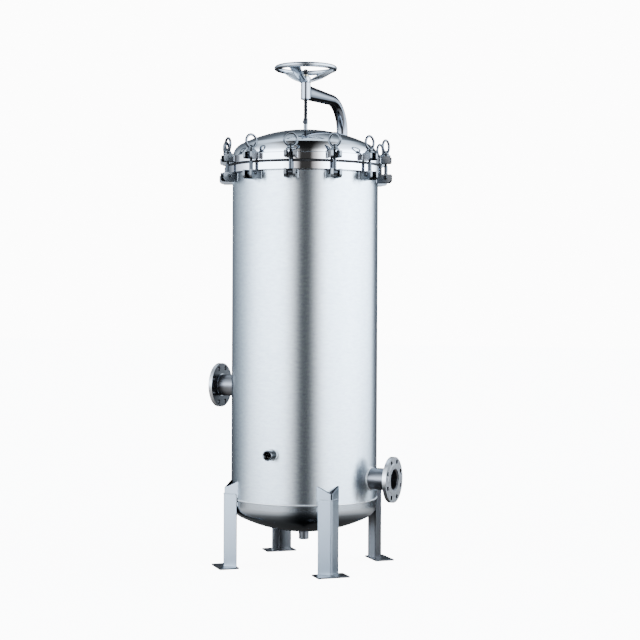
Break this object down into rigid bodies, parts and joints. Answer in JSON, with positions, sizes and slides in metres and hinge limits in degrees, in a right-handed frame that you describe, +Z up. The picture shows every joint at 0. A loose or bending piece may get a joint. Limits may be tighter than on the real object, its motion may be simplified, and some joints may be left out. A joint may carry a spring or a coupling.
{
  "type": "multi-cartridge filter housing",
  "caption": "Upright stainless cartridge filter vessel on angle legs, with flanged side nozzles, a domed lid held by swing bolts and a screw davit with handwheel.",
  "frame": {"origin": "on the vessel's axis at floor level, centre of the circle of the four anchor holes", "axes": "+Z up along the vessel's axis; +X along the outlet nozzle; the inlet nozzle points to -X, the side drain to -Y and the davit post stands on +Y"},
  "size_m": [0.804, 0.7583, 2.0492],
  "materials": {
    "satin_shell": "satin brushed stainless",
    "polished_steel": "bright polished stainless",
    "turned_steel": "machined stainless",
    "leg_steel": "pickled, blasted stainless",
    "lug_steel": "polished plate, sawn edges",
    "cast_steel": "polished casting",
    "bolt_steel": "turned bar",
    "inner_steel": "mill finish",
    "bronze": "machined bronze",
    "gasket_rubber": "black moulded rubber",
    "black_knob": "gloss black phenolic",
    "cartridge_fleece": "white polypropylene fleece"
  },
  "bodies": {
    "vessel": {"shell_barrel": "satin_shell", "bottom_head": "satin_shell", "body_flange": "polished_steel", "flange_gasket": "gasket_rubber", "lower_lugs": "lug_steel", "pivot_pins": "bolt_steel", "tube_sheet": "inner_steel", "filter_cartridges": "cartridge_fleece", "hold_down_plate": "inner_steel", "tie_rods": "inner_steel", "tie_rod_nuts": "inner_steel", "outlet_pipe": "satin_shell", "outlet_flange": "turned_steel", "inlet_pipe": "satin_shell", "inlet_flange": "turned_steel", "side_drain_socket": "turned_steel", "bottom_drain_socket": "turned_steel", "leg_1": "leg_steel", "leg_2": "leg_steel", "leg_3": "leg_steel", "leg_4": "leg_steel", "foot_plates": "leg_steel", "davit_socket": "leg_steel", "davit_arm": "polished_steel", "spindle_sleeve": "polished_steel"},
    "lid": {"lid_dome": "polished_steel", "lid_ring": "polished_steel", "upper_lugs": "lug_steel", "lifting_lug": "lug_steel", "spindle": "bolt_steel", "spindle_clevis": "bolt_steel", "clevis_pin": "bolt_steel", "spindle_cap": "black_knob"},
    "handwheel": {"handwheel": "cast_steel", "lifting_nut": "bronze"},
    "swing_bolt_01": {"swing_bolt_01": "bolt_steel"},
    "eye_nut_01": {"eye_nut_01": "cast_steel"},
    "swing_bolt_02": {"swing_bolt_02": "bolt_steel"},
    "eye_nut_02": {"eye_nut_02": "cast_steel"},
    "swing_bolt_03": {"swing_bolt_03": "bolt_steel"},
    "eye_nut_03": {"eye_nut_03": "cast_steel"},
    "swing_bolt_04": {"swing_bolt_04": "bolt_steel"},
    "eye_nut_04": {"eye_nut_04": "cast_steel"},
    "swing_bolt_05": {"swing_bolt_05": "bolt_steel"},
    "eye_nut_05": {"eye_nut_05": "cast_steel"},
    "swing_bolt_06": {"swing_bolt_06": "bolt_steel"},
    "eye_nut_06": {"eye_nut_06": "cast_steel"},
    "swing_bolt_07": {"swing_bolt_07": "bolt_steel"},
    "eye_nut_07": {"eye_nut_07": "cast_steel"},
    "swing_bolt_08": {"swing_bolt_08": "bolt_steel"},
    "eye_nut_08": {"eye_nut_08": "cast_steel"},
    "swing_bolt_09": {"swing_bolt_09": "bolt_steel"},
    "eye_nut_09": {"eye_nut_09": "cast_steel"},
    "swing_bolt_10": {"swing_bolt_10": "bolt_steel"},
    "eye_nut_10": {"eye_nut_10": "cast_steel"},
    "swing_bolt_11": {"swing_bolt_11": "bolt_steel"},
    "eye_nut_11": {"eye_nut_11": "cast_steel"},
    "swing_bolt_12": {"swing_bolt_12": "bolt_steel"},
    "eye_nut_12": {"eye_nut_12": "cast_steel"}
  },
  "joints": [
    {"name": "handwheel_turn", "type": "hinge", "parent": "vessel", "child": "handwheel", "pos_m": [0, 0, 1.995], "axis": [0, 0, 1], "range_deg": [0, 1440]},
    {"name": "lid_lift", "type": "slide", "parent": "vessel", "child": "lid", "axis": [0, 0, 1], "range_m": [0, 0.01601]},
    {"name": "swing_bolt_01_swing", "type": "hinge", "parent": "vessel", "child": "swing_bolt_01", "pos_m": [0.32262, 0.08645, 1.584], "axis": [-0.2588, 0.9659, 0], "range_deg": [0, 180]},
    {"name": "eye_nut_01_run", "type": "slide", "parent": "swing_bolt_01", "child": "eye_nut_01", "axis": [0, 0, 1], "range_m": [0, 0.01601]},
    {"name": "swing_bolt_02_swing", "type": "hinge", "parent": "vessel", "child": "swing_bolt_02", "pos_m": [0.23617, 0.23617, 1.584], "axis": [-0.7071, 0.7071, 0], "range_deg": [0, 180]},
    {"name": "eye_nut_02_run", "type": "slide", "parent": "swing_bolt_02", "child": "eye_nut_02", "axis": [0, 0, 1], "range_m": [0, 0.01601]},
    {"name": "swing_bolt_03_swing", "type": "hinge", "parent": "vessel", "child": "swing_bolt_03", "pos_m": [0.08645, 0.32262, 1.584], "axis": [-0.9659, 0.2588, 0], "range_deg": [0, 180]},
    {"name": "eye_nut_03_run", "type": "slide", "parent": "swing_bolt_03", "child": "eye_nut_03", "axis": [0, 0, 1], "range_m": [0, 0.01601]},
    {"name": "swing_bolt_04_swing", "type": "hinge", "parent": "vessel", "child": "swing_bolt_04", "pos_m": [-0.08645, 0.32262, 1.584], "axis": [-0.9659, -0.2588, 0], "range_deg": [0, 180]},
    {"name": "eye_nut_04_run", "type": "slide", "parent": "swing_bolt_04", "child": "eye_nut_04", "axis": [0, 0, 1], "range_m": [0, 0.01601]},
    {"name": "swing_bolt_05_swing", "type": "hinge", "parent": "vessel", "child": "swing_bolt_05", "pos_m": [-0.23617, 0.23617, 1.584], "axis": [-0.7071, -0.7071, 0], "range_deg": [0, 180]},
    {"name": "eye_nut_05_run", "type": "slide", "parent": "swing_bolt_05", "child": "eye_nut_05", "axis": [0, 0, 1], "range_m": [0, 0.01601]},
    {"name": "swing_bolt_06_swing", "type": "hinge", "parent": "vessel", "child": "swing_bolt_06", "pos_m": [-0.32262, 0.08645, 1.584], "axis": [-0.2588, -0.9659, 0], "range_deg": [0, 180]},
    {"name": "eye_nut_06_run", "type": "slide", "parent": "swing_bolt_06", "child": "eye_nut_06", "axis": [0, 0, 1], "range_m": [0, 0.01601]},
    {"name": "swing_bolt_07_swing", "type": "hinge", "parent": "vessel", "child": "swing_bolt_07", "pos_m": [-0.32262, -0.08645, 1.584], "axis": [0.2588, -0.9659, 0], "range_deg": [0, 180]},
    {"name": "eye_nut_07_run", "type": "slide", "parent": "swing_bolt_07", "child": "eye_nut_07", "axis": [0, 0, 1], "range_m": [0, 0.01601]},
    {"name": "swing_bolt_08_swing", "type": "hinge", "parent": "vessel", "child": "swing_bolt_08", "pos_m": [-0.23617, -0.23617, 1.584], "axis": [0.7071, -0.7071, 0], "range_deg": [0, 180]},
    {"name": "eye_nut_08_run", "type": "slide", "parent": "swing_bolt_08", "child": "eye_nut_08", "axis": [0, 0, 1], "range_m": [0, 0.01601]},
    {"name": "swing_bolt_09_swing", "type": "hinge", "parent": "vessel", "child": "swing_bolt_09", "pos_m": [-0.08645, -0.32262, 1.584], "axis": [0.9659, -0.2588, 0], "range_deg": [0, 180]},
    {"name": "eye_nut_09_run", "type": "slide", "parent": "swing_bolt_09", "child": "eye_nut_09", "axis": [0, 0, 1], "range_m": [0, 0.01601]},
    {"name": "swing_bolt_10_swing", "type": "hinge", "parent": "vessel", "child": "swing_bolt_10", "pos_m": [0.08645, -0.32262, 1.584], "axis": [0.9659, 0.2588, 0], "range_deg": [0, 180]},
    {"name": "eye_nut_10_run", "type": "slide", "parent": "swing_bolt_10", "child": "eye_nut_10", "axis": [0, 0, 1], "range_m": [0, 0.01601]},
    {"name": "swing_bolt_11_swing", "type": "hinge", "parent": "vessel", "child": "swing_bolt_11", "pos_m": [0.23617, -0.23617, 1.584], "axis": [0.7071, 0.7071, 0], "range_deg": [0, 180]},
    {"name": "eye_nut_11_run", "type": "slide", "parent": "swing_bolt_11", "child": "eye_nut_11", "axis": [0, 0, 1], "range_m": [0, 0.01601]},
    {"name": "swing_bolt_12_swing", "type": "hinge", "parent": "vessel", "child": "swing_bolt_12", "pos_m": [0.32262, -0.08645, 1.584], "axis": [0.2588, 0.9659, 0], "range_deg": [0, 180]},
    {"name": "eye_nut_12_run", "type": "slide", "parent": "swing_bolt_12", "child": "eye_nut_12", "axis": [0, 0, 1], "range_m": [0, 0.01601]}
  ],
  "couplings": [
    {"joint": "lid_lift", "follows": "handwheel_turn", "m_per_rad": 0.00063662},
    {"joint": "eye_nut_01_run", "follows": "handwheel_turn", "m_per_rad": 0.00063662},
    {"joint": "eye_nut_02_run", "follows": "handwheel_turn", "m_per_rad": 0.00063662},
    {"joint": "eye_nut_03_run", "follows": "handwheel_turn", "m_per_rad": 0.00063662},
    {"joint": "eye_nut_04_run", "follows": "handwheel_turn", "m_per_rad": 0.00063662},
    {"joint": "eye_nut_05_run", "follows": "handwheel_turn", "m_per_rad": 0.00063662},
    {"joint": "eye_nut_06_run", "follows": "handwheel_turn", "m_per_rad": 0.00063662},
    {"joint": "eye_nut_07_run", "follows": "handwheel_turn", "m_per_rad": 0.00063662},
    {"joint": "eye_nut_08_run", "follows": "handwheel_turn", "m_per_rad": 0.00063662},
    {"joint": "eye_nut_09_run", "follows": "handwheel_turn", "m_per_rad": 0.00063662},
    {"joint": "eye_nut_10_run", "follows": "handwheel_turn", "m_per_rad": 0.00063662},
    {"joint": "eye_nut_11_run", "follows": "handwheel_turn", "m_per_rad": 0.00063662},
    {"joint": "eye_nut_12_run", "follows": "handwheel_turn", "m_per_rad": 0.00063662}
  ]
}
